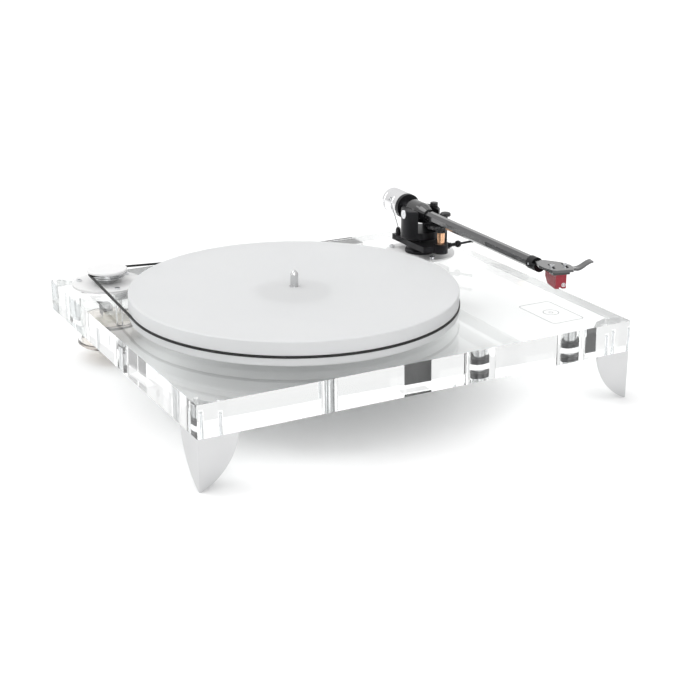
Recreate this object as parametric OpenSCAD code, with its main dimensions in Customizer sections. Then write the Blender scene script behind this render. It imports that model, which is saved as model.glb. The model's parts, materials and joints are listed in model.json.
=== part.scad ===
// Belt-driven record player with a clear slab plinth.
// Origin: centre of the plinth's outline, on the surface that the feet stand on. +Z is up, -Y is the front.

/* [Plinth] */
// Width of the plinth, side to side
plinth_w = 422; // [421:0.5:425]
// Depth of the plinth, front to back
plinth_d = 362; // [361:0.5:365]
// Thickness of the plinth
plinth_h = 29; // [28:0.5:31]
// Height of the plinth's underside above the ground
foot_h = 45; // [43:0.5:48]

/* [Platter] */
// Radius of the platter
platter_r = 150; // [149:0.5:151]
// Thickness of the platter
platter_h = 21.5; // [20:0.5:23]
// Gap between the plinth and the platter
platter_gap = 2.3; // [2:0.1:3]
// Radius of the record spindle's pin
spindle_r = 3.6; // [3.5:0.05:3.6]
// Height of the spindle above the platter
spindle_h = 15; // [12:1:18]

/* [Motor] */
// Radius of the motor pod that hangs through the plinth
pod_r = 32; // [31:0.5:32.5]
// Radius of the pulley where the belt runs
pulley_r = 16; // [15:0.5:17]

/* [Tonearm] */
// Height of the arm tube's axis above the ground
arm_z = 117.5; // [117:0.5:119]
// Size of the octagonal arm tube across its corners
tube_d = 11; // [10:0.5:11.5]
// Angle of the parked arm from the side edge of the plinth
park_angle = 1.2; // [0:0.1:2]
// Angle of the headshell from the side edge of the plinth when parked
head_angle = 15; // [13:1:17]
// Radius of the counterweight
weight_r = 13.5; // [12:0.5:14]
// Length of the counterweight
weight_len = 29; // [25:1:30]

/* [Hidden] */
$fn = 96;

// Clearances
fit_gap = 0.1;       // between a fixed piece and its hole
seat_gap = 0.05;     // between the plinth and what is seated on it
run_gap = 0.05;      // radial clearance of a turning shaft
safe_gap = 0.3;      // between curved faces that move past each other
cut = 1;             // how far a cutting tool runs past a face

// Heights
top_z = foot_h + plinth_h;
platter_z = top_z + platter_gap;
belt_z = top_z + 10.4;

// Plan positions
platter_x = -43;
platter_y = -13.5;
motor_x = -165.5;
motor_y = 145.5;
arm_x = 157;
arm_y = 94;
rear_foot_y = 150;

// Front feet: folded blades
blade_w = 35;
blade_t = 2;
blade_flange = 30;
blade_tip_w = 1.5;
blade_curve_x = -22;
blade_curve_z = foot_h + 8;
blade_curve_r = norm([blade_tip_w - blade_curve_x, blade_curve_z]);
foot_screw_r = 2;
foot_screw_len = 18;
foot_screw_in = 9;
foot_screw_out = 22;

// Rear foot
rear_foot_r = 19;
rear_pad_r = 15;
rear_pad_h = 4;
rear_stud_r = 4;

// Main bearing
bearing_r = 8;
bearing_flange_r = 16;
bearing_flange_h = 1.8;
bearing_floor = 4;
shaft_r = 5;
ball_r = 3;
hub_r = 35;
hub_h = 7;

// Belt and its grooves
belt_d = 1.8;
groove_depth = 1.2;
groove_h = 2.6;
pulley_top = belt_z + groove_h / 2 + 0.8;

// Motor
motor_plate_r = 34;
motor_plate_h = 2;
motor_screw_ring = 27.7;
pod_bottom = 15;
pod_wall = 3;
pod_post_r = 3.2;
pod_base_h = 4;
can_r = 21;
can_h = 24;
board_w = 30;
board_d = 20;
board_h = 1.6;
isolator_h = 4;
motor_shaft_r = 2.5;
cap_r = 19.5;
cap_h = 3;

// Power switch: stands on the pod's base, with its toggle below
pod_floor = pod_bottom + pod_base_h;
switch_w = 9;
switch_d = 14;
switch_h = 11;
switch_y = motor_y + 10;
toggle_pivot_z = pod_floor - 1;
toggle_pivot_r = 1.5;
toggle_pivot_len = 4;
toggle_r = 1.4;
toggle_len = 12;
toggle_ball_r = 2;
bushing_r = 3.6;
bushing_bore_r = 2.8;
bushing_h = 5;

// Sockets in the rear edge
block_x = 110.5;
block_w = 31;
block_d = 22;
block_h = 24;
panel_t = 2;
phono_r = 4.2;
phono_bore_r = 1.65;
phono_spacing = 14;
inlet_z = pod_bottom + 16;
inlet_r = 5.5;
inlet_bore_r = 2.75;
inlet_depth = 12;

// Tonearm base
base_plate_r = 36;
base_plate_h = 2;
base_screw_ring = 31.5;
pillar_r = 15.5;
pillar_hole_r = 17.5;
sleeve_r = 12;
sleeve_bottom = foot_h + 3;
sleeve_top = top_z - 3;
ring_r = 16;
ring_h = 5;
pillar_screw_r = 1.4;
pillar_screw_turn = -30;
platform_z = top_z + 10;
platform_h = 6;
pillar_screw_z = platform_z - 1.8;
platform_left = 141;
yoke_z = platform_z + platform_h + 2;
yoke_r = 20;
yoke_floor = 8;
yoke_top = arm_z + 4.8;
yoke_slot = 24;
yoke_shaft_r = 6;
pivot_pin_r = 1.5;
pivot_reach = 4;
pivot_head_r = 4.5;
dial_r = 4;
dial_h = 3.5;
dial_x = yoke_r - dial_r;
dial_pin_r = 1;
dial_pin_len = 2.4;

// Tonearm
block_r = 10.5;
block_front = 17;
block_back = 15;
tube_r = tube_d / 2;
tube_start = 16;
tube_end = 208;
tube_bore_r = 3;
collar_len = 14;
collar_ahead = 6;
collar_r = 6.2;
collar_screw_y = 204;
stub_r = 6;
stub_end = 60;
flange_y = 25;
flange_h = 5;

// Headshell and cartridge: u runs across the head, v runs forward, both from the stylus
stylus_x = 156.5;
stylus_y = -144;
stylus_z = 100.5;
head_z = arm_z + 2;
head_t = 2.4;
lift_w = 8;
lift_len = 18;
cart_w = 10;
cart_len = 26;
cart_front = 4.5;
cart_top_w = 16;
cart_top_h = 3.5;
cart_bottom = stylus_z + 2.3;
cart_screw_v = -3;
cart_screw_spacing = 12.7;
cart_screw_r = 1.2;

// Cueing lift, arm rest and anti-skating post
cue_x = 159.5;
cue_y = 58;
cue_r = 7.5;
cue_h = 10;
cue_piston_r = 4;
cue_bore_depth = 12;
cue_rest_top = arm_z - tube_r * cos(22.5) - 0.7;
cue_rest_h = 7;
lever_z = platform_z + 5.5;
lever_r = 1.8;
lever_knob_r = 3.6;
lever_bend = 21;
lever_tip = [34, -7, 3];
rest_x = 170;
rest_y = 67;
rest_post_r = 2.5;
rest_top = arm_z + 1;
rest_cap_r = 5.5;
bias_x = 144.5;
bias_y = 117.5;
bias_post_h = 6;
bias_top = [-6, 7, 28];

// ---- helpers ----

module at_platter(z = 0) {
    translate([platter_x, platter_y, z]) children();
}

module at_motor(z = 0) {
    translate([motor_x, motor_y, z]) children();
}

module at_arm(z = 0) {
    translate([arm_x, arm_y, z]) children();
}

// The parked arm's own frame: the tube runs along -Y from the pivot
module arm_frame() {
    translate([arm_x, arm_y, arm_z]) rotate([0, 0, -park_angle]) children();
}

// The headshell's frame: +X across the head, -Y forward, z from the ground
module head_frame() {
    translate([stylus_x, stylus_y, 0]) rotate([0, 0, -head_angle]) children();
}

// A cylinder along +Y that starts at y
module rod_y(r, y, len) {
    translate([0, y, 0]) rotate([-90, 0, 0]) cylinder(r = r, h = len);
}

// A cylinder along +X that starts at x
module rod_x(r, x, len) {
    translate([x, 0, 0]) rotate([0, 90, 0]) cylinder(r = r, h = len);
}

// A straight round bar from a to b
module bar(a, b, r) {
    d = b - a;
    flat = sqrt(d[0] * d[0] + d[1] * d[1]);
    translate(a) rotate([0, atan2(flat, d[2]), atan2(d[1], d[0])]) cylinder(r = r, h = norm(d));
}

// A cap screw: head with a hexagon socket, standing on z = 0, with its shank below
module cap_screw(head_r, head_h, shank_r, shank_len) {
    difference() {
        cylinder(r = head_r, h = head_h);
        translate([0, 0, head_h / 2]) cylinder(r = head_r / 2, h = head_h, $fn = 6);
    }
    translate([0, 0, -shank_len]) cylinder(r = shank_r, h = shank_len + head_h / 4);
}

// ---- plinth and feet ----

module plinth() {
    color([0.93, 0.96, 0.97, 0.5]) difference() {
        translate([-plinth_w / 2, -plinth_d / 2, foot_h + seat_gap])
            cube([plinth_w, plinth_d, plinth_h - 2 * seat_gap]);
        at_platter(foot_h - cut) cylinder(r = bearing_r + fit_gap, h = plinth_h + 2 * cut);
        at_motor(foot_h - cut) cylinder(r = pod_r + fit_gap, h = plinth_h + 2 * cut);
        at_arm(foot_h - cut) cylinder(r = pillar_hole_r, h = plinth_h + 2 * cut);
        for (side = [-1, 1]) {
            foot_corner(side) foot_screw_places() blind_hole(foot_screw_r + fit_gap, foot_screw_len);
        }
        translate([0, rear_foot_y, foot_h]) blind_hole(rear_stud_r + fit_gap, foot_screw_len);
        base_screw_places() translate([0, 0, top_z - 10]) cylinder(r = 1.6, h = 10 + cut);
        translate([block_x - block_w / 2 - fit_gap, plinth_d / 2 - block_d, foot_h - cut])
            cube([block_w + 2 * fit_gap, block_d + cut, block_h + fit_gap + cut]);
    }
}

module blind_hole(r, depth) {
    translate([0, 0, -cut]) cylinder(r = r, h = depth + cut + fit_gap);
}

// Places children in a front corner of the underside, with x inwards and y to the back
module foot_corner(side) {
    translate([side * plinth_w / 2, -plinth_d / 2, foot_h]) mirror([side > 0 ? 1 : 0, 0, 0]) children();
}

module foot_screw_places() {
    translate([foot_screw_out, foot_screw_in, 0]) children();
    translate([foot_screw_in, foot_screw_out, 0]) children();
}

// One leaf of a blade: full width under the plinth, a bulging inner edge and a narrow tip
module blade_leaf() {
    intersection() {
        square([blade_w, foot_h]);
        translate([blade_curve_x, blade_curve_z]) circle(r = blade_curve_r);
    }
}

module blade_foot(side) {
    color([0.85, 0.86, 0.87]) foot_corner(side) translate([0, 0, -foot_h]) {
        difference() {
            union() {
                translate([0, blade_t, 0]) rotate([90, 0, 0]) linear_extrude(blade_t) blade_leaf();
                mirror([1, -1, 0]) translate([0, blade_t, 0]) rotate([90, 0, 0])
                    linear_extrude(blade_t) blade_leaf();
                translate([0, 0, foot_h - blade_t]) linear_extrude(blade_t)
                    polygon([[0, 0], [blade_w, 0], [blade_flange, blade_flange / 2],
                             [blade_flange / 2, blade_flange], [0, blade_w]]);
            }
            foot_screw_places() translate([0, 0, foot_h - 2 * blade_t])
                cylinder(r = foot_screw_r + fit_gap, h = 3 * blade_t);
        }
    }
}

module front_left_foot() {
    blade_foot(-1);
}

module front_right_foot() {
    blade_foot(1);
}

module rear_foot() {
    color([0.8, 0.81, 0.83]) translate([0, rear_foot_y, 0]) rotate_extrude() polygon([
        [rear_stud_r + fit_gap, rear_pad_h], [rear_foot_r - 1, rear_pad_h], [rear_foot_r, rear_pad_h + 1],
        [rear_foot_r, 13], [rear_foot_r - 1.5, 14], [rear_foot_r - 1.5, 17], [rear_foot_r, 18],
        [rear_foot_r, foot_h - 1], [rear_foot_r - 1, foot_h], [rear_stud_r + fit_gap, foot_h]
    ]);
}

module rear_foot_pad() {
    color([0.08, 0.08, 0.08]) translate([0, rear_foot_y, 0]) cylinder(r = rear_pad_r, h = rear_pad_h);
}

module foot_screws() {
    color([0.7, 0.71, 0.73]) {
        for (side = [-1, 1]) {
            foot_corner(side) foot_screw_places()
                translate([0, 0, -blade_t]) mirror([0, 0, 1])
                    cap_screw(foot_screw_r * 1.8, 2.5, foot_screw_r, foot_screw_len);
        }
        translate([0, rear_foot_y, rear_pad_h])
            cylinder(r = rear_stud_r, h = foot_h - rear_pad_h + foot_screw_len);
    }
}

// ---- bearing and platter ----

module bearing_housing() {
    color([0.86, 0.87, 0.88]) at_platter() difference() {
        union() {
            translate([0, 0, foot_h]) cylinder(r = bearing_r, h = plinth_h);
            translate([0, 0, top_z]) cylinder(r = bearing_flange_r, h = bearing_flange_h);
        }
        translate([0, 0, foot_h + bearing_floor])
            cylinder(r = shaft_r + run_gap, h = plinth_h + bearing_flange_h);
    }
}

module thrust_ball() {
    color([0.75, 0.76, 0.78]) at_platter(foot_h + bearing_floor + ball_r) sphere(r = ball_r);
}

module platter_hub() {
    shaft_bottom = foot_h + bearing_floor + 2 * ball_r + run_gap;
    color([0.76, 0.77, 0.79]) at_platter() {
        translate([0, 0, shaft_bottom]) cylinder(r = shaft_r, h = platter_z + 1 - shaft_bottom);
        translate([0, 0, platter_z]) cylinder(r = hub_r, h = hub_h);
    }
}

module spindle() {
    boss_h = platter_h - hub_h;
    color([0.85, 0.86, 0.88]) at_platter(platter_z + hub_h) rotate_extrude() polygon([
        [0, 0], [shaft_r, 0], [shaft_r, boss_h], [spindle_r, boss_h],
        [spindle_r, boss_h + spindle_h - 4], [spindle_r * 0.75, boss_h + spindle_h - 1.6],
        [spindle_r * 0.4, boss_h + spindle_h - 0.3], [0, boss_h + spindle_h]
    ]);
}

module platter() {
    groove_top = belt_z - platter_z + groove_h / 2;
    groove_bottom = belt_z - platter_z - groove_h / 2;
    color([0.94, 0.95, 0.96]) at_platter(platter_z) rotate_extrude($fn = 180) polygon([
        [hub_r + fit_gap, 0], [platter_r - 0.8, 0], [platter_r, 0.8], [platter_r, groove_bottom],
        [platter_r - groove_depth, groove_bottom + 0.4], [platter_r - groove_depth, groove_top - 0.4],
        [platter_r, groove_top], [platter_r, platter_h - 0.8], [platter_r - 0.8, platter_h],
        [shaft_r + fit_gap, platter_h], [shaft_r + fit_gap, hub_h], [hub_r + fit_gap, hub_h]
    ]);
}

// The belt's path: round the platter's groove and the pulley, with two straight runs
belt_dx = motor_x - platter_x;
belt_dy = motor_y - platter_y;
belt_span = sqrt(belt_dx * belt_dx + belt_dy * belt_dy);
belt_dir = atan2(belt_dy, belt_dx);
platter_run = platter_r - groove_depth + safe_gap;
pulley_run = pulley_r + safe_gap;
belt_tilt = acos((platter_run - pulley_run) / belt_span);
belt_steps = 160;

function arc(cx, cy, r, from, to, n) =
    [for (i = [0:n]) [cx + r * cos(from + (to - from) * i / n), cy + r * sin(from + (to - from) * i / n)]];

module belt_outline(extra) {
    polygon(concat(
        arc(platter_x, platter_y, platter_run + extra, belt_dir + belt_tilt,
            belt_dir + 360 - belt_tilt, belt_steps),
        arc(motor_x, motor_y, pulley_run + extra, belt_dir - belt_tilt, belt_dir + belt_tilt, belt_steps / 4)
    ));
}

module drive_belt() {
    color([0.06, 0.06, 0.06]) translate([0, 0, belt_z - belt_d / 2]) linear_extrude(belt_d) difference() {
        belt_outline(belt_d);
        belt_outline(0);
    }
}

// ---- motor ----

module motor_screw_places() {
    for (a = [30, 150, 270]) {
        translate([motor_x + motor_screw_ring * cos(a), motor_y + motor_screw_ring * sin(a), 0]) children();
    }
}

module motor_plate() {
    color([0.9, 0.91, 0.92]) difference() {
        at_motor(top_z) cylinder(r = motor_plate_r, h = motor_plate_h);
        at_motor(top_z - cut) cylinder(r = motor_shaft_r + 1, h = motor_plate_h + 2 * cut);
        motor_screw_places() translate([0, 0, top_z - cut]) cylinder(r = 1.6, h = motor_plate_h + 2 * cut);
    }
}

module motor_plate_screws() {
    color([0.5, 0.51, 0.53]) motor_screw_places() translate([0, 0, top_z + motor_plate_h])
        cap_screw(2.6, 1.6, 1.5, 6);
}

module motor_pod() {
    wall_bottom = pod_bottom + pod_base_h;
    color([0.9, 0.92, 0.93, 0.6]) difference() {
        union() {
            difference() {
                at_motor(wall_bottom) cylinder(r = pod_r, h = top_z - wall_bottom);
                at_motor(wall_bottom - cut) cylinder(r = pod_r - pod_wall, h = top_z - wall_bottom + 2 * cut);
            }
            motor_screw_places() translate([0, 0, wall_bottom])
                cylinder(r = pod_post_r, h = top_z - wall_bottom);
        }
        at_motor(inlet_z) rod_y(inlet_r + fit_gap, pod_r - inlet_depth, inlet_depth + cut);
        motor_screw_places() translate([0, 0, top_z - 8]) cylinder(r = 1.6, h = 8 + cut);
    }
}

module pod_base() {
    color([0.82, 0.74, 0.66]) difference() {
        at_motor(pod_bottom) rotate_extrude() polygon([
            [0, 0], [pod_r - 1.5, 0], [pod_r, 1.5], [pod_r, pod_base_h], [0, pod_base_h]
        ]);
        translate([motor_x, switch_y, pod_bottom - cut])
            cylinder(r = bushing_r + fit_gap, h = pod_base_h + 2 * cut);
    }
}

module motor_isolator() {
    color([0.75, 0.6, 0.42]) at_motor(top_z - isolator_h) difference() {
        cylinder(r = can_r - 1, h = isolator_h);
        translate([0, 0, -cut]) cylinder(r = 8, h = isolator_h + 2 * cut);
    }
}

module motor_can() {
    color([0.72, 0.73, 0.75]) at_motor(top_z - isolator_h - can_h) difference() {
        union() {
            cylinder(r = can_r, h = can_h);
            cylinder(r = 6, h = can_h + 2);
        }
        translate([0, 0, can_h - 10]) cylinder(r = motor_shaft_r + run_gap, h = 20);
    }
}

module motor_board() {
    color([0.88, 0.84, 0.76]) at_motor(pod_floor) {
        translate([-board_w / 2, -board_d, 0]) cube([board_w, board_d, board_h]);
        translate([-8, -15, board_h]) cube([16, 10, 6]);
    }
}

module motor_shaft() {
    bottom = top_z - isolator_h - 8;
    color([0.8, 0.81, 0.83]) at_motor(bottom) cylinder(r = motor_shaft_r, h = pulley_top - bottom);
}

module motor_pulley() {
    base_z = top_z + motor_plate_h + 0.6;
    color([0.8, 0.81, 0.83]) at_motor() rotate_extrude() polygon([
        [motor_shaft_r + run_gap, base_z], [8, base_z], [8, base_z + 2], [13, base_z + 2.6],
        [pulley_r + 1, belt_z - groove_h / 2 - 1.2], [pulley_r + 1, belt_z - groove_h / 2 - 0.2],
        [pulley_r, belt_z - groove_h / 2 + 0.2], [pulley_r, belt_z + groove_h / 2],
        [pulley_r + 1, belt_z + groove_h / 2 + 0.4], [pulley_r + 1, pulley_top],
        [motor_shaft_r + run_gap, pulley_top]
    ]);
}

module pulley_cap() {
    color([0.95, 0.95, 0.95]) at_motor(pulley_top) rotate_extrude() polygon([
        [0, 0], [cap_r - 0.8, 0], [cap_r, 0.8], [cap_r, cap_h - 0.8], [cap_r - 0.8, cap_h], [0, cap_h]
    ]);
}

// ---- switches and sockets ----

module power_switch() {
    color([0.08, 0.08, 0.09]) translate([motor_x, switch_y, pod_floor]) difference() {
        union() {
            translate([-switch_w / 2, -switch_d / 2, 0]) cube([switch_w, switch_d, switch_h]);
            translate([0, 0, -bushing_h]) cylinder(r = bushing_r, h = bushing_h + cut);
        }
        translate([0, 0, -bushing_h - cut]) cylinder(r = bushing_bore_r, h = bushing_h + cut + 3);
    }
}

module power_toggle() {
    color([0.8, 0.81, 0.83]) translate([motor_x, switch_y, toggle_pivot_z]) {
        translate([0, 0, -toggle_len]) cylinder(r = toggle_r, h = toggle_len + 2);
        translate([0, 0, -toggle_len]) sphere(r = toggle_ball_r);
        rod_x(toggle_pivot_r, -toggle_pivot_len / 2, toggle_pivot_len);
    }
}

block_y = plinth_d / 2 - block_d;
socket_z = foot_h + block_h / 2 - 2;
ground_z = socket_z + 9;
phono_x = [block_x - phono_spacing / 2, block_x + phono_spacing / 2];
socket_depth = 14;

module socket_block() {
    color([0.06, 0.06, 0.07]) difference() {
        translate([block_x - block_w / 2, block_y + fit_gap, foot_h])
            cube([block_w, block_d - panel_t - fit_gap, block_h]);
        for (x = phono_x) {
            translate([x, plinth_d / 2 - socket_depth, socket_z])
                rod_y(phono_r + fit_gap, 0, socket_depth + cut);
        }
        translate([block_x, plinth_d / 2 - socket_depth, ground_z]) rod_y(1.6, 0, socket_depth + cut);
    }
}

module phono_sockets() {
    color([0.85, 0.7, 0.35]) for (x = phono_x) {
        translate([x, plinth_d / 2 - socket_depth, socket_z]) difference() {
            rod_y(phono_r, 0, socket_depth);
            rod_y(phono_bore_r, 2, socket_depth);
        }
    }
}

module power_inlet() {
    color([0.12, 0.12, 0.13]) at_motor(inlet_z) {
        difference() {
            rod_y(inlet_r, pod_r - inlet_depth, inlet_depth);
            rod_y(inlet_bore_r, pod_r - 10, 10 + cut);
        }
        rod_y(1, pod_r - 11, 9);
    }
}

module ground_post() {
    color([0.85, 0.7, 0.35]) translate([block_x, plinth_d / 2 - panel_t, ground_z]) {
        rod_y(1.5, -10, 10);
        rod_y(3, 0, 1.8);
    }
}

// ---- tonearm base ----

module base_screw_places() {
    for (a = [126, 262, 14]) {
        translate([arm_x + base_screw_ring * cos(a), arm_y + base_screw_ring * sin(a), 0]) children();
    }
}

module arm_base_plate() {
    color([0.88, 0.89, 0.9]) difference() {
        at_arm(top_z) cylinder(r = base_plate_r, h = base_plate_h);
        at_arm(top_z - cut) cylinder(r = pillar_r - 1.4, h = base_plate_h + 2 * cut);
        base_screw_places() translate([0, 0, top_z - cut]) cylinder(r = 1.6, h = base_plate_h + 2 * cut);
    }
}

module arm_base_screws() {
    color([0.75, 0.76, 0.78]) base_screw_places() translate([0, 0, top_z + base_plate_h])
        cap_screw(2.7, 2.6, 1.5, 8);
}

module arm_pillar() {
    inner = pillar_r - 1.5;
    shaft_bore = yoke_shaft_r + run_gap;
    color([0.05, 0.05, 0.06]) at_arm() difference() {
        rotate_extrude() polygon([
            [shaft_bore, sleeve_top], [inner, sleeve_top], [inner, top_z + base_plate_h],
            [pillar_r, top_z + base_plate_h], [pillar_r, top_z + base_plate_h + 3],
            [pillar_r - 1, top_z + base_plate_h + 4], [inner - 0.4, top_z + base_plate_h + 4.4],
            [inner - 0.4, platform_z], [shaft_bore, platform_z]
        ]);
        translate([0, 0, pillar_screw_z]) rotate([0, 0, pillar_screw_turn])
            rod_x(pillar_screw_r + fit_gap, -pillar_r, pillar_r - yoke_shaft_r - 1);
    }
}

// The long bush under the pillar, inside the plinth
module pillar_sleeve() {
    color([0.8, 0.81, 0.83]) at_arm(sleeve_bottom) difference() {
        cylinder(r = sleeve_r, h = sleeve_top - sleeve_bottom);
        translate([0, 0, -cut]) cylinder(r = yoke_shaft_r + run_gap, h = plinth_h);
    }
}

module pillar_ring() {
    color([0.05, 0.05, 0.06]) at_arm(sleeve_bottom + 2) difference() {
        cylinder(r = ring_r, h = ring_h);
        translate([0, 0, -cut]) cylinder(r = sleeve_r + fit_gap, h = ring_h + 2 * cut);
    }
}

module pillar_screw() {
    color([0.75, 0.76, 0.78]) at_arm(pillar_screw_z) rotate([0, 0, pillar_screw_turn]) difference() {
        rod_x(pillar_screw_r, -pillar_r - 0.5, pillar_r - yoke_shaft_r - 2);
        rod_x(pillar_screw_r / 2, -pillar_r - cut, 2);
    }
}

module arm_platform() {
    back = bias_y + 6;
    color([0.07, 0.07, 0.08]) difference() {
        translate([0, 0, platform_z]) linear_extrude(platform_h) difference() {
            union() {
                polygon([[platform_left, back], [platform_left, cue_y + 3], [cue_x - cue_r, cue_y],
                         [cue_x + 5, cue_y + 5], [rest_x + 4, rest_y - 4], [rest_x + 4, rest_y + 5],
                         [arm_x + pillar_r, arm_y], [arm_x + pillar_r - 4, back - 6],
                         [arm_x + 2, back]]);
                translate([arm_x, arm_y]) circle(r = pillar_r);
            }
            translate([arm_x, arm_y]) circle(r = yoke_shaft_r + run_gap);
            translate([cue_x, cue_y]) circle(r = cue_r + fit_gap);
        }
    }
}

// ---- tonearm bearing ----

module yoke_shaft() {
    bottom = foot_h + 2;
    color([0.7, 0.71, 0.73]) at_arm(bottom) cylinder(r = yoke_shaft_r, h = yoke_z - bottom);
}

module yoke() {
    color([0.06, 0.06, 0.07]) arm_frame() translate([0, 0, -arm_z]) difference() {
        translate([0, 0, yoke_z]) rotate_extrude() polygon([
            [0, 0], [yoke_r - 0.8, 0], [yoke_r, 0.8], [yoke_r, yoke_top - yoke_z - 1],
            [yoke_r - 1, yoke_top - yoke_z], [0, yoke_top - yoke_z]
        ]);
        translate([-yoke_slot / 2, -yoke_r - cut, yoke_z + yoke_floor])
            cube([yoke_slot, 2 * (yoke_r + cut), plinth_h * 2]);
        translate([0, 0, arm_z]) rod_x(pivot_pin_r + run_gap, -yoke_r - cut, 2 * (yoke_r + cut));
        translate([dial_x, 0, yoke_top - dial_pin_len - fit_gap])
            cylinder(r = dial_pin_r + run_gap, h = dial_pin_len + cut);
        for (side = [-1, 1]) {
            translate([side * (yoke_r - 0.6), 0, arm_z]) rotate([0, side * 90, 0])
                cylinder(r = pivot_head_r + 0.5, h = 2);
            translate([side * (yoke_r + 0.5) - 1, -pivot_head_r - 0.5, arm_z])
                cube([2, 2 * pivot_head_r + 1, 20]);
        }
    }
}

module pivot_screws() {
    color([0.85, 0.86, 0.88]) arm_frame() for (side = [-1, 1]) {
        difference() {
            union() {
                rotate([0, side * 90, 0]) translate([0, 0, yoke_slot / 2 - pivot_reach])
                    cylinder(r = pivot_pin_r, h = yoke_r - yoke_slot / 2 + pivot_reach);
                rotate([0, side * 90, 0]) translate([0, 0, yoke_r - 0.5]) cylinder(r = pivot_head_r, h = 0.9);
            }
            translate([side * (yoke_r + 0.7), 0, 0]) rotate([45, 0, 0]) cube([1.2, 1, 7], center = true);
        }
    }
}

// Bias dial: a knurled disc on a pin in the top of the yoke's right cheek
module bias_dial() {
    color([0.07, 0.07, 0.08]) arm_frame() translate([dial_x, 0, yoke_top - arm_z]) {
        difference() {
            translate([0, 0, safe_gap]) cylinder(r = dial_r, h = dial_h);
            for (a = [0:30:330]) {
                rotate([0, 0, a]) translate([dial_r + 0.4, 0, 0]) cylinder(r = 0.7, h = 2 * dial_h);
            }
        }
        translate([0, 0, -dial_pin_len]) cylinder(r = dial_pin_r, h = dial_pin_len + safe_gap + dial_h / 2);
    }
}

module bearing_block() {
    color([0.1, 0.1, 0.11]) arm_frame() difference() {
        union() {
            rotate([90, 0, 0]) rotate_extrude() polygon([
                [0, -block_back], [block_r - 1.5, -block_back], [block_r, -block_back + 1.5], [block_r, 3],
                [block_r - 0.7, 8], [block_r - 2, 12], [block_r - 3.6, block_front], [0, block_front]
            ]);
            rod_x(5, -yoke_slot / 2 + 0.8, yoke_slot - 1.6);
        }
        rod_x(pivot_pin_r + run_gap, -yoke_slot / 2, yoke_slot);
        translate([0, -block_front - cut, 0]) rod_y(tube_r + fit_gap, 0, block_front - tube_start + 2 + cut);
    }
}

module rear_stub() {
    color([0.8, 0.81, 0.83]) arm_frame() rod_y(stub_r, block_back, stub_end - block_back);
}

module counterweight_flange() {
    color([0.06, 0.06, 0.07]) arm_frame() difference() {
        rod_y(weight_r - 0.3, flange_y, flange_h);
        rod_y(stub_r + run_gap, flange_y - cut, flange_h + 2 * cut);
    }
}

module counterweight() {
    start = flange_y + flange_h;
    color([0.88, 0.89, 0.9]) arm_frame() rotate([-90, 0, 0]) rotate_extrude() polygon([
        [stub_r + run_gap, start], [weight_r - 0.8, start], [weight_r, start + 0.8],
        [weight_r, start + 7], [weight_r - 0.6, start + 7.4], [weight_r - 0.6, start + 8],
        [weight_r, start + 8.4], [weight_r, start + weight_len - 6],
        [weight_r - 0.6, start + weight_len - 5.6], [weight_r - 0.6, start + weight_len - 5],
        [weight_r, start + weight_len - 4.6], [weight_r, start + weight_len - 1],
        [weight_r - 1, start + weight_len], [stub_r + run_gap, start + weight_len]
    ]);
}

// ---- arm tube, headshell and cartridge ----

module arm_tube() {
    color([0.3, 0.3, 0.31]) arm_frame() rotate([90, 0, 0]) difference() {
        rotate([0, 0, 22.5]) translate([0, 0, tube_start])
            cylinder(r = tube_r, h = tube_end - tube_start, $fn = 8);
        translate([0, 0, tube_start - cut]) cylinder(r = tube_bore_r, h = tube_end - tube_start + 2 * cut);
    }
}

module head_collar() {
    color([0.05, 0.05, 0.06]) arm_frame() difference() {
        rod_y(collar_r, -tube_end - collar_ahead, collar_len);
        rotate([90, 0, 0]) rotate([0, 0, 22.5]) translate([0, 0, tube_end - collar_len])
            cylinder(r = tube_r + fit_gap, h = collar_len, $fn = 8);
        translate([-collar_r - cut, -collar_screw_y, 0]) rod_x(1.2, 0, 3);
        translate([-tube_d, -tube_end - collar_ahead - cut, head_z - arm_z])
            cube([2 * tube_d, collar_ahead, tube_d]);
    }
}

module collar_screw() {
    color([0.8, 0.81, 0.83]) arm_frame() translate([-collar_r, -collar_screw_y, 0]) difference() {
        rod_x(1.1, 0, 1);
        rod_x(0.5, -cut, cut + 0.5);
    }
}

// The finger lift's wave, seen from the front, as its upper edge's height at a distance across the head
function wave(s) = 2.4 - 2.4 * cos(180 * s) - 3 * sin(180 * s) * (1 - s);

module finger_lift() {
    steps = 14;
    upper = [for (i = [0:steps]) [lift_len * i / steps, wave(i / steps)]];
    lower = [for (i = [steps:-1:0])
        [lift_len * i / steps, wave(i / steps) - head_t * (1 - 0.45 * i / steps)]];
    translate([0, lift_w / 2, head_t]) rotate([90, 0, 0])
        linear_extrude(lift_w) polygon(concat(upper, lower));
}

module headshell() {
    color([0.25, 0.25, 0.26]) head_frame() translate([0, 0, head_z]) difference() {
        union() {
            linear_extrude(head_t) polygon([
                [-14.5, 25], [-16, 10], [-14.5, 2], [-10, -7.5], [-7, -9.5], [9, -9.5],
                [12, -6], [12, 5], [6.5, 15.4], [-5.5, 25]
            ]);
            translate([11.9, -0.5, 0]) finger_lift();
        }
        for (side = [-1, 1]) {
            translate([side * cart_screw_spacing / 2, 0, -cut]) {
                translate([-cart_screw_r - 0.1, -2, 0]) cube([2 * cart_screw_r + 0.2, 12, head_t + 2 * cut]);
                translate([0, -2, 0]) cylinder(r = cart_screw_r + 0.1, h = head_t + 2 * cut);
                translate([0, 10, 0]) cylinder(r = cart_screw_r + 0.1, h = head_t + 2 * cut);
            }
        }
    }
}

module cartridge_screw_places() {
    for (side = [-1, 1]) {
        translate([side * cart_screw_spacing / 2, -cart_screw_v, 0]) children();
    }
}

module cartridge_screws() {
    color([0.75, 0.76, 0.78]) head_frame() cartridge_screw_places()
        translate([0, 0, head_z + head_t]) cap_screw(2.3, 1.8, cart_screw_r, head_t + cart_top_h);
}

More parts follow.
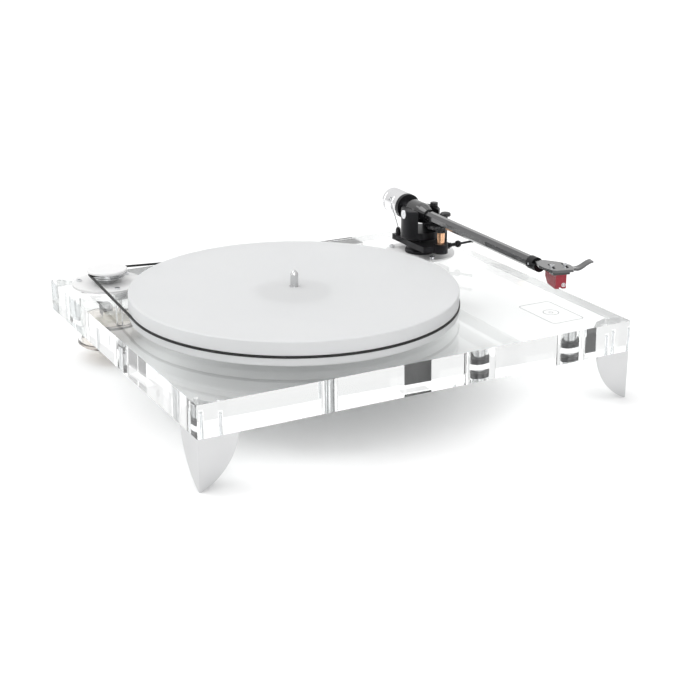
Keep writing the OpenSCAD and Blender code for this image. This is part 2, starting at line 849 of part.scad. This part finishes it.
module cartridge_body() {
    color([0.06, 0.06, 0.07]) head_frame() difference() {
        translate([-cart_top_w / 2, -cart_front, head_z - cart_top_h])
            cube([cart_top_w, cart_len - 6, cart_top_h]);
        cartridge_screw_places() translate([0, 0, head_z - cart_top_h - cut])
            cylinder(r = cart_screw_r + 0.1, h = cart_top_h + 2 * cut);
    }
}

module cartridge_pins() {
    color([0.8, 0.7, 0.4]) head_frame() for (x = [-3.9, -1.3, 1.3, 3.9]) {
        translate([x, cart_len - cart_front, head_z - cart_top_h - 4]) rod_y(0.5, 0, 4);
    }
}

// The coloured lower half: a narrow box whose underside rises at the back
module stylus_housing() {
    top = head_z - cart_top_h;
    h = top - cart_bottom;
    color([0.62, 0.06, 0.14]) head_frame() difference() {
        translate([cart_w / 2, 0, 0]) rotate([0, -90, 0]) linear_extrude(cart_w) polygon([
            [cart_bottom, -cart_front + 0.8], [cart_bottom + 0.8, -cart_front], [top, -cart_front],
            [top, cart_len - cart_front], [cart_bottom + h * 0.4, cart_len - cart_front],
            [cart_bottom, cart_len - cart_front - 6]
        ]);
        translate([-1.5, -cart_front - cut, cart_bottom - cut]) cube([3, 7, 1.5 + cut]);
    }
}

module cantilever() {
    color([0.8, 0.81, 0.83]) head_frame() {
        bar([0, 1.3, cart_bottom + 0.9], [0, -0.2, stylus_z + 0.8], 0.35);
        translate([0, 0, stylus_z]) cylinder(r1 = 0.1, r2 = 0.4, h = 0.9, $fn = 24);
    }
}

// ---- cueing lift, arm rest and anti-skating guide ----

module at_cue(z = 0) {
    translate([cue_x, cue_y, z]) children();
}

module cue_cylinder() {
    bottom = platform_z - 1;
    color([0.06, 0.06, 0.07]) difference() {
        at_cue(bottom) cylinder(r = cue_r, h = cue_h);
        at_cue(bottom + cue_h - 8.5) cylinder(r = cue_piston_r + run_gap, h = cue_bore_depth);
        at_cue(lever_z) rod_x(lever_r + run_gap, cue_piston_r + 1.2, cue_r);
    }
}

module cue_piston() {
    bottom = platform_z - 1 + cue_h - 2;
    color([0.8, 0.5, 0.33]) at_cue(bottom) cylinder(r = cue_piston_r, h = cue_rest_top - cue_rest_h - bottom);
}

module cue_rest() {
    base = cue_rest_top - cue_rest_h;
    color([0.06, 0.06, 0.07]) at_cue(base) difference() {
        union() {
            cylinder(r = cue_piston_r + 1.5, h = cue_rest_h);
            translate([-11, -3, cue_rest_h - 3]) cube([19, 6, 3]);
        }
        translate([0, -3.9, 2.2]) rotate([90, 0, 0]) cylinder(r = 1, h = 4);
    }
}

module cue_lever() {
    color([0.06, 0.06, 0.07]) at_cue(lever_z) {
        rod_x(lever_r, cue_piston_r + 1.5, lever_bend - cue_piston_r);
        rod_x(2.6, cue_r + 2.2, 2.4);
        translate([lever_bend, 0, 0]) sphere(r = lever_knob_r);
        bar([lever_bend, 0, 0], lever_tip, 1.2);
        translate(lever_tip) sphere(r = 1.7);
    }
}

module arm_rest() {
    color([0.06, 0.06, 0.07]) {
        translate([rest_x, rest_y, platform_z + platform_h])
            cylinder(r = rest_post_r, h = rest_top - platform_z - platform_h);
        translate([rest_x - 20, rest_y - 2, arm_z - tube_r - 5]) cube([20, 4, 3]);
    }
}

module arm_rest_cap() {
    color([0.06, 0.06, 0.07]) translate([rest_x, rest_y, rest_top]) rotate_extrude() polygon([
        [0, 0], [rest_cap_r, 0], [rest_cap_r, 2], [rest_cap_r - 1, 3.2], [0, 3.8]
    ]);
}

module bias_post() {
    color([0.06, 0.06, 0.07]) translate([bias_x, bias_y, platform_z + platform_h]) {
        cylinder(r = 2.6, h = bias_post_h);
        translate([0, 0, bias_post_h]) cylinder(r = 1.7, h = 1.5);
    }
}

// A stiff bent wire that leans outwards beside the counterweight, with an eye at its top
module bias_wire() {
    foot = [bias_x, bias_y, platform_z + platform_h + bias_post_h + 1.5];
    color([0.25, 0.25, 0.26]) {
        bar(foot, foot + bias_top, 0.5);
        translate(foot + bias_top + [0, 0, 1.6]) rotate([90, 0, 0]) rotate_extrude($fn = 32)
            translate([1.6, 0]) circle(r = 0.45, $fn = 16);
    }
}

// ---- selection ----

plinth();
front_left_foot();
front_right_foot();
rear_foot();
rear_foot_pad();
foot_screws();
bearing_housing();
thrust_ball();
platter_hub();
spindle();
platter();
drive_belt();
motor_plate();
motor_plate_screws();
motor_pod();
pod_base();
motor_can();
motor_isolator();
motor_board();
motor_shaft();
motor_pulley();
pulley_cap();
power_switch();
power_toggle();
socket_block();
phono_sockets();
power_inlet();
ground_post();
arm_base_plate();
arm_base_screws();
arm_pillar();
pillar_sleeve();
pillar_ring();
pillar_screw();
arm_platform();
yoke_shaft();
yoke();
pivot_screws();
bias_dial();
bearing_block();
rear_stub();
counterweight();
counterweight_flange();
arm_tube();
head_collar();
collar_screw();
headshell();
cartridge_screws();
cartridge_body();
cartridge_pins();
stylus_housing();
cantilever();
cue_cylinder();
cue_piston();
cue_rest();
cue_lever();
arm_rest();
arm_rest_cap();
bias_post();
bias_wire();
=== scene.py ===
import json
import math

import bmesh
import bpy
from mathutils import Euler, Matrix, Vector


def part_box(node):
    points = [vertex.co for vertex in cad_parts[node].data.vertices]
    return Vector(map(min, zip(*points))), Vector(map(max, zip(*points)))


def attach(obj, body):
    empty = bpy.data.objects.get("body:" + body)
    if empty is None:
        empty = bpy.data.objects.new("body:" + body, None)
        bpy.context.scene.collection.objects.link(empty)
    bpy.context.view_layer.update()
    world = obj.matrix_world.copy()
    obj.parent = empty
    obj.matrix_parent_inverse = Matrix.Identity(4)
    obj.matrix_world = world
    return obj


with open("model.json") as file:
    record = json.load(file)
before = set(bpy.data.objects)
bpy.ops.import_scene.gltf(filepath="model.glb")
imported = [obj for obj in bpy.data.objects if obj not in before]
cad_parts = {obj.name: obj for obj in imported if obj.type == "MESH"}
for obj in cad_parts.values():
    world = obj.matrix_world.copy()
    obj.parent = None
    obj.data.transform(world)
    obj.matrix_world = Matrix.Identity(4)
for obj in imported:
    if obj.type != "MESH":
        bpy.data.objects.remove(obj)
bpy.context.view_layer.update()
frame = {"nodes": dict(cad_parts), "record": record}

NODES = frame["nodes"]
SLOT_OF = {s["node"]: s["material_slot"] for s in frame["record"]["subparts"]}
BODY_OF = {n: b for b, nodes in frame["record"]["behaviour"]["bodies"].items() for n in nodes}
MM = 0.001

# ---- camera ----

CAMERA_PLACE = (-0.586, -1.1019, 0.4835)
CAMERA_YAW = math.radians(28.913)
CAMERA_PITCH = math.radians(20.224)
CAMERA_ROLL = math.radians(0.263)
CAMERA_LENS = 72.03
CAMERA_SENSOR = 36
CAMERA_NEAR = 0.05
CAMERA_FAR = 100


def make_camera():
    data = bpy.data.cameras.new("camera")
    data.lens = CAMERA_LENS
    data.sensor_width = CAMERA_SENSOR
    data.clip_start = CAMERA_NEAR
    data.clip_end = CAMERA_FAR
    camera = bpy.data.objects.new("camera", data)
    bpy.context.scene.collection.objects.link(camera)
    turn = Euler((math.pi / 2 - CAMERA_PITCH, 0, -CAMERA_YAW), "XYZ").to_matrix()
    turn = turn @ Matrix.Rotation(CAMERA_ROLL, 3, "Z")
    camera.matrix_world = Matrix.Translation(CAMERA_PLACE) @ turn.to_4x4()
    bpy.context.scene.camera = camera


make_camera()

# ---- materials ----

ACRYLIC_IOR = 1.49
FROST_GRAIN = 2200
METAL_GRAIN = 900
ANODISED_GRAIN = 2600
SEALED_COAT_IOR = 1.8


def new_material(name):
    m = bpy.data.materials.new(name)
    m.use_nodes = True
    return m, m.node_tree, m.node_tree.nodes["Principled BSDF"]


def object_point(tree, centre=(0, 0, 0)):
    """The place on the object in metres, measured from centre."""
    coordinate = tree.nodes.new("ShaderNodeTexCoord")
    mapping = tree.nodes.new("ShaderNodeMapping")
    mapping.vector_type = "TEXTURE"
    mapping.inputs["Location"].default_value = centre
    tree.links.new(coordinate.outputs["Object"], mapping.inputs["Vector"])
    return mapping.outputs["Vector"]


def noise(tree, point, scale, detail=4):
    n = tree.nodes.new("ShaderNodeTexNoise")
    n.inputs["Scale"].default_value = scale
    n.inputs["Detail"].default_value = detail
    tree.links.new(point, n.inputs["Vector"])
    return n.outputs["Fac"]


def turned_lines(tree, point, spacing, direction):
    """Fine lines left by a lathe, with that spacing in metres along that axis."""
    n = tree.nodes.new("ShaderNodeTexWave")
    n.wave_type = "BANDS"
    n.bands_direction = direction
    n.inputs["Scale"].default_value = math.pi / 10 / spacing
    n.inputs["Distortion"].default_value = 0.6
    n.inputs["Detail"].default_value = 2
    tree.links.new(point, n.inputs["Vector"])
    return n.outputs["Fac"]


def spread(tree, value, low, high):
    """Maps a 0 to 1 value to low to high."""
    n = tree.nodes.new("ShaderNodeMapRange")
    n.inputs["To Min"].default_value = low
    n.inputs["To Max"].default_value = high
    tree.links.new(value, n.inputs["Value"])
    return n.outputs["Result"]


def two_tone(tree, value, first, second):
    n = tree.nodes.new("ShaderNodeMix")
    n.data_type = "RGBA"
    n.inputs["A"].default_value = (*first, 1)
    n.inputs["B"].default_value = (*second, 1)
    tree.links.new(value, n.inputs["Factor"])
    return n.outputs["Result"]


def bumped(tree, shader, height, depth, strength=1.0):
    n = tree.nodes.new("ShaderNodeBump")
    n.inputs["Distance"].default_value = depth
    n.inputs["Strength"].default_value = strength
    tree.links.new(height, n.inputs["Height"])
    tree.links.new(n.outputs["Normal"], shader.inputs["Normal"])


def through_glass(tree, shader, tint):
    """Lets lamps and the sky reach what is behind or inside clear plastic."""
    clear = tree.nodes.new("ShaderNodeBsdfTransparent")
    clear.inputs["Color"].default_value = (*tint, 1)
    path = tree.nodes.new("ShaderNodeLightPath")
    mix = tree.nodes.new("ShaderNodeMixShader")
    out = tree.nodes["Material Output"]
    tree.links.new(path.outputs["Is Shadow Ray"], mix.inputs[0])
    tree.links.new(shader.outputs[0], mix.inputs[1])
    tree.links.new(clear.outputs[0], mix.inputs[2])
    tree.links.new(mix.outputs[0], out.inputs["Surface"])


def acrylic(name, colour, shadow_tint, haze=(0.0, 0.012)):
    """Clear cast acrylic with a hand-polished surface."""
    m, tree, shader = new_material(name)
    shader.inputs["Base Color"].default_value = (*colour, 1)
    shader.inputs["Transmission Weight"].default_value = 1
    shader.inputs["IOR"].default_value = ACRYLIC_IOR
    point = object_point(tree)
    tree.links.new(spread(tree, noise(tree, point, 60), *haze), shader.inputs["Roughness"])
    bumped(tree, shader, noise(tree, point, 9, 1), 0.00004)
    through_glass(tree, shader, shadow_tint)
    return m


def frosted(name, first, second, rough, transmission):
    """Sand-blasted acrylic: a fine even grain, with faint cloudiness in its white."""
    m, tree, shader = new_material(name)
    point = object_point(tree)
    tree.links.new(two_tone(tree, noise(tree, point, 14, 2), first, second), shader.inputs["Base Color"])
    shader.inputs["Transmission Weight"].default_value = transmission
    shader.inputs["IOR"].default_value = ACRYLIC_IOR
    fine = noise(tree, point, FROST_GRAIN, 3)
    tree.links.new(spread(tree, fine, *rough), shader.inputs["Roughness"])
    bumped(tree, shader, fine, 0.00003, 0.5)
    return m


def metal(name, first, second, rough, lines=None, depth=0.000004):
    """Metal with a little variation in its polish, and turned lines where lines gives them."""
    m, tree, shader = new_material(name)
    shader.inputs["Metallic"].default_value = 1
    if lines:
        point = object_point(tree, lines["centre"])
        fine = turned_lines(tree, point, lines["spacing"], lines["direction"])
    else:
        point = object_point(tree)
        fine = noise(tree, point, METAL_GRAIN)
    soft = noise(tree, point, 45, 3)
    tree.links.new(two_tone(tree, soft, first, second), shader.inputs["Base Color"])
    tree.links.new(spread(tree, fine, *rough), shader.inputs["Roughness"])
    bumped(tree, shader, fine, depth)
    return m


def anodised(name, first, second, rough, sealed=0.0):
    """Bead-blasted aluminium with a dark anodised skin, under a gloss coat as strong as sealed."""
    m, tree, shader = new_material(name)
    shader.inputs["Metallic"].default_value = 0.65
    shader.inputs["Specular IOR Level"].default_value = 0.4
    shader.inputs["Coat Weight"].default_value = sealed
    shader.inputs["Coat IOR"].default_value = SEALED_COAT_IOR
    shader.inputs["Coat Roughness"].default_value = 0.08
    point = object_point(tree)
    fine = noise(tree, point, ANODISED_GRAIN, 3)
    tree.links.new(two_tone(tree, noise(tree, point, 120, 3), first, second), shader.inputs["Base Color"])
    tree.links.new(spread(tree, fine, *rough), shader.inputs["Roughness"])
    bumped(tree, shader, fine, 0.00001, 0.4)
    return m


def moulded(name, first, second, rough, grain=1800, coat=0.0, depth=0.00001):
    """Moulded plastic or rubber with its mould's fine texture."""
    m, tree, shader = new_material(name)
    point = object_point(tree)
    fine = noise(tree, point, grain, 3)
    tree.links.new(two_tone(tree, noise(tree, point, 160, 3), first, second), shader.inputs["Base Color"])
    tree.links.new(spread(tree, fine, *rough), shader.inputs["Roughness"])
    shader.inputs["Coat Weight"].default_value = coat
    shader.inputs["Coat Roughness"].default_value = 0.06
    bumped(tree, shader, fine, depth, 0.6)
    return m


def middle(node):
    low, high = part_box(node)
    return (low + high) / 2


def lathe_marks(node, spacing, direction):
    return {"centre": tuple(middle(node)), "spacing": spacing, "direction": direction}


MATERIALS = {
    "clear_acrylic": acrylic("clear_acrylic", (0.985, 0.995, 0.992), (0.90, 0.91, 0.91)),
    "frosted_acrylic": frosted(
        "frosted_acrylic", (0.77, 0.78, 0.785), (0.81, 0.815, 0.82), (0.42, 0.58), 0.35),
    "white_acrylic": frosted("white_acrylic", (0.78, 0.78, 0.78), (0.83, 0.83, 0.83), (0.40, 0.52), 0.1),
    "tan_acrylic": acrylic("tan_acrylic", (0.93, 0.86, 0.80), (0.85, 0.80, 0.76), (0.05, 0.12)),
    "mirror_steel": metal("mirror_steel", (0.57, 0.575, 0.58), (0.63, 0.63, 0.635), (0.10, 0.22)),
    "silver_aluminium": metal("silver_aluminium", (0.50, 0.505, 0.51), (0.54, 0.545, 0.55), (0.16, 0.30)),
    "chrome_weight": metal(
        "chrome_weight", (0.78, 0.78, 0.79), (0.84, 0.84, 0.85), (0.05, 0.12),
        lathe_marks("counterweight", 0.0012, "Y"), depth=0.00002),
    "screw_steel": metal("screw_steel", (0.66, 0.67, 0.69), (0.76, 0.77, 0.78), (0.14, 0.28)),
    "shaft_steel": metal("shaft_steel", (0.62, 0.63, 0.65), (0.72, 0.73, 0.74), (0.12, 0.24)),
    "gold_contact": metal("gold_contact", (0.86, 0.64, 0.28), (0.92, 0.72, 0.36), (0.10, 0.18)),
    "copper_piston": metal("copper_piston", (0.78, 0.44, 0.26), (0.86, 0.54, 0.34), (0.10, 0.20)),
    "black_anodised": anodised("black_anodised", (0.012, 0.012, 0.014), (0.022, 0.022, 0.024), (0.30, 0.42)),
    "grey_anodised": anodised(
        "grey_anodised", (0.022, 0.022, 0.024), (0.034, 0.034, 0.037), (0.20, 0.30), sealed=1.0),
    "black_plastic": moulded("black_plastic", (0.010, 0.010, 0.011), (0.020, 0.020, 0.021), (0.34, 0.48)),
    "gloss_black": moulded(
        "gloss_black", (0.008, 0.008, 0.009), (0.014, 0.014, 0.015), (0.10, 0.18), coat=0.5),
    "red_plastic": moulded("red_plastic", (0.23, 0.004, 0.016), (0.30, 0.006, 0.022), (0.22, 0.32)),
    "belt_rubber": moulded("belt_rubber", (0.004, 0.004, 0.004), (0.008, 0.008, 0.008), (0.50, 0.66)),
    "foot_rubber": moulded(
        "foot_rubber", (0.014, 0.014, 0.014), (0.026, 0.026, 0.026), (0.66, 0.84), depth=0.00004),
    "cork_rubber": moulded(
        "cork_rubber", (0.42, 0.28, 0.15), (0.60, 0.44, 0.26), (0.70, 0.90), 900, depth=0.0001),
    "circuit_board": moulded("circuit_board", (0.70, 0.64, 0.54), (0.76, 0.71, 0.62), (0.30, 0.44)),
}


# ---- CAD pieces: materials and softened edges ----

EDGE_MM = {
    "plinth": 0.6, "platter": 0.4, "front_left_foot": 0.15, "front_right_foot": 0.15, "motor_plate": 0.25,
    "arm_base_plate": 0.25, "arm_platform": 0.5, "headshell": 0.25, "stylus_housing": 0.5,
    "cartridge_body": 0.3, "cue_cylinder": 0.4, "cue_rest": 0.4, "cue_piston": 0.3, "arm_rest": 0.4,
    "rear_stub": 0.4, "counterweight_flange": 0.4, "socket_block": 0.3, "yoke": 0.35, "pivot_screws": 0.2,
    "bearing_block": 0.4, "motor_can": 0.6, "head_collar": 0.2, "bias_dial": 0.15, "arm_pillar": 0.25,
}


BEVEL_ANGLE = math.radians(38)
FACET_ANGLE = math.radians(30)


def dress_cad_nodes():
    for node, piece in NODES.items():
        for place in piece.material_slots:
            place.material = MATERIALS[SLOT_OF[node]]
        if node in EDGE_MM:
            bevel = piece.modifiers.new("softened_edges", "BEVEL")
            bevel.width = EDGE_MM[node] * MM
            bevel.segments = 2
            bevel.limit_method = "ANGLE"
            bevel.angle_limit = BEVEL_ANGLE
            bevel.use_clamp_overlap = True
    facets = NODES["arm_tube"].modifiers.new("flat_facets", "EDGE_SPLIT")
    facets.split_angle = FACET_ANGLE


dress_cad_nodes()

# ---- new pieces ----


def piece_from(bm, name, body, slot):
    """Makes an object from a bmesh, gives it a record slot's material and rides it on a body."""
    bmesh.ops.recalc_face_normals(bm, faces=bm.faces)
    mesh = bpy.data.meshes.new(name)
    bm.to_mesh(mesh)
    bm.free()
    piece = bpy.data.objects.new(name, mesh)
    bpy.context.scene.collection.objects.link(piece)
    mesh.materials.append(MATERIALS[slot])
    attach(piece, body)


def rounded_frame(half_w, half_d, radius, steps=8):
    """Points round a rounded rectangle, anticlockwise."""
    points = []
    for corner, (sx, sy) in enumerate(((1, 1), (-1, 1), (-1, -1), (1, -1))):
        for i in range(steps + 1):
            a = math.radians(90 * (corner + i / steps))
            x = sx * (half_w - radius) + radius * math.cos(a)
            y = sy * (half_d - radius) + radius * math.sin(a)
            points.append((x, y))
    return points


def band(bm, inner, outer, low, high):
    """A closed flat band between two outlines with as many points each."""
    rows = [[bm.verts.new((x, y, z)) for x, y in line] for line, z in
            ((inner, low), (outer, low), (outer, high), (inner, high))]
    n = len(inner)
    for a, b in zip(rows, rows[1:] + rows[:1]):
        for i in range(n):
            bm.faces.new((a[i], a[(i + 1) % n], b[(i + 1) % n], b[i]))


def circle_points(radius, steps=48):
    angles = [math.tau * i / steps for i in range(steps)]
    return [(radius * math.cos(a), radius * math.sin(a)) for a in angles]


# the badge: its middle from the plinth's right and front edges, then inside and outside of each line
BADGE_INSET = (49.5 * MM, 53 * MM)
BADGE_HALF = (17.5 * MM, 28 * MM)
BADGE_LINE = 0.8 * MM
BADGE_CORNERS = (3.5 * MM, 4 * MM)
BADGE_RING = (6.7 * MM, 7.5 * MM)
BADGE_EYE = (1.6 * MM, 2.2 * MM)
BADGE_LIFT = 0.02 * MM
BADGE_DEPTH = 0.05 * MM


def badge_outline():
    """A plain frame with a ring in it, in a fine silver line near the plinth's right front corner."""
    low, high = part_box("plinth")
    bottom = high.z + BADGE_LIFT
    top = bottom + BADGE_DEPTH
    half_w, half_d = BADGE_HALF
    bm = bmesh.new()
    inside = rounded_frame(half_w - BADGE_LINE, half_d - BADGE_LINE, BADGE_CORNERS[0])
    outside = rounded_frame(half_w, half_d, BADGE_CORNERS[1])
    band(bm, inside, outside, bottom, top)
    for inner, outer in (BADGE_RING, BADGE_EYE):
        band(bm, circle_points(inner), circle_points(outer), bottom, top)
    place = (high.x - BADGE_INSET[0], low.y + BADGE_INSET[1], 0)
    bmesh.ops.translate(bm, vec=place, verts=bm.verts)
    piece_from(bm, "badge_outline", BODY_OF["plinth"], "silver_aluminium")


badge_outline()

HEAD_TURN = math.radians(-15)
# the cartridge's ring: its middle from the side and the foot, then inner radius, outer radius and depth
RING_INSET = 2.6 * MM
RING_HEIGHT = 3.9 * MM
RING_LIFT = 0.02 * MM
RING_BANDS = ((1.3 * MM, 1.9 * MM, 0.3 * MM), (0.05 * MM, 0.8 * MM, 0.2 * MM))


def cartridge_ring():
    """A plain metal ring on the front of the cartridge."""
    turn = Matrix.Rotation(HEAD_TURN, 3, "Z")
    across, forward, up = turn @ Vector((1, 0, 0)), turn @ Vector((0, -1, 0)), Vector((0, 0, 1))
    points = [v.co for v in NODES["stylus_housing"].data.vertices]
    front = max(p.dot(forward) for p in points) + RING_LIFT
    side = max(p.dot(across) for p in points) - RING_INSET
    height = min(p.z for p in points) + RING_HEIGHT
    centre = forward * front + across * side + up * height
    bm = bmesh.new()
    for inner, outer, depth in RING_BANDS:
        band(bm, circle_points(inner), circle_points(outer), 0, depth)
    facing = Matrix((across, up, forward)).transposed().to_4x4()
    bmesh.ops.transform(bm, matrix=Matrix.Translation(centre) @ facing, verts=bm.verts)
    piece_from(bm, "cartridge_ring", BODY_OF["stylus_housing"], "screw_steel")


cartridge_ring()

# ---- floor, sky and lamps ----

FLOOR_HALF_WIDTH = 30
LAMP_AIM = Vector((0, 0, 0.06))
# how high up the sky each grey is, from 0 at the horizon to 1 overhead
SKY_HEIGHTS = (0.0, 0.75)
SKY_GREYS = (0.80, 0.98)


def make_floor():
    bm = bmesh.new()
    bmesh.ops.create_grid(bm, x_segments=1, y_segments=1, size=FLOOR_HALF_WIDTH)
    mesh = bpy.data.meshes.new("floor")
    bm.to_mesh(mesh)
    bm.free()
    floor = bpy.data.objects.new("floor", mesh)
    bpy.context.scene.collection.objects.link(floor)
    m, tree, shader = new_material("floor")
    shader.inputs["Base Color"].default_value = (0.93, 0.93, 0.93, 1)
    shader.inputs["Specular IOR Level"].default_value = 0.1
    tree.links.new(spread(tree, noise(tree, object_point(tree), 30), 0.8, 0.9), shader.inputs["Roughness"])
    mesh.materials.append(m)


def make_sky():
    world = bpy.data.worlds.new("sky")
    bpy.context.scene.world = world
    world.use_nodes = True
    tree = world.node_tree
    back = tree.nodes["Background"]
    coordinate = tree.nodes.new("ShaderNodeTexCoord")
    split = tree.nodes.new("ShaderNodeSeparateXYZ")
    ramp = tree.nodes.new("ShaderNodeValToRGB")
    for stop, height, grey in zip(ramp.color_ramp.elements, SKY_HEIGHTS, SKY_GREYS):
        stop.position = height
        stop.color = (grey, grey, grey, 1)
    tree.links.new(coordinate.outputs["Generated"], split.inputs[0])
    tree.links.new(split.outputs["Z"], ramp.inputs[0])
    tree.links.new(ramp.outputs["Color"], back.inputs["Color"])
    back.inputs["Strength"].default_value = 1.0


def lamp(name, kind, power, place, size=1.0, angle=30):
    data = bpy.data.lights.new(name, kind)
    data.energy = power
    if kind == "AREA":
        data.size = size
    else:
        data.angle = math.radians(angle)
    o = bpy.data.objects.new(name, data)
    bpy.context.scene.collection.objects.link(o)
    o.location = place
    o.rotation_euler = (LAMP_AIM - Vector(place)).to_track_quat("-Z", "Y").to_euler()


make_floor()
make_sky()
lamp("key", "SUN", 0.9, (-1.0, 1.2, 2.4), angle=35)
lamp("soft_box_left", "AREA", 2.5, (-1.6, 0.3, 0.9), size=1.0)
lamp("soft_box_top", "AREA", 3, (0.4, 0.5, 1.6), size=1.2)
lamp("soft_box_front", "AREA", 8, (-0.9, -1.6, 0.7), size=1.2)

scene = bpy.context.scene
scene.view_settings.view_transform = "Standard"
scene.cycles.max_bounces = 24
scene.cycles.glossy_bounces = 16
scene.cycles.transmission_bounces = 20
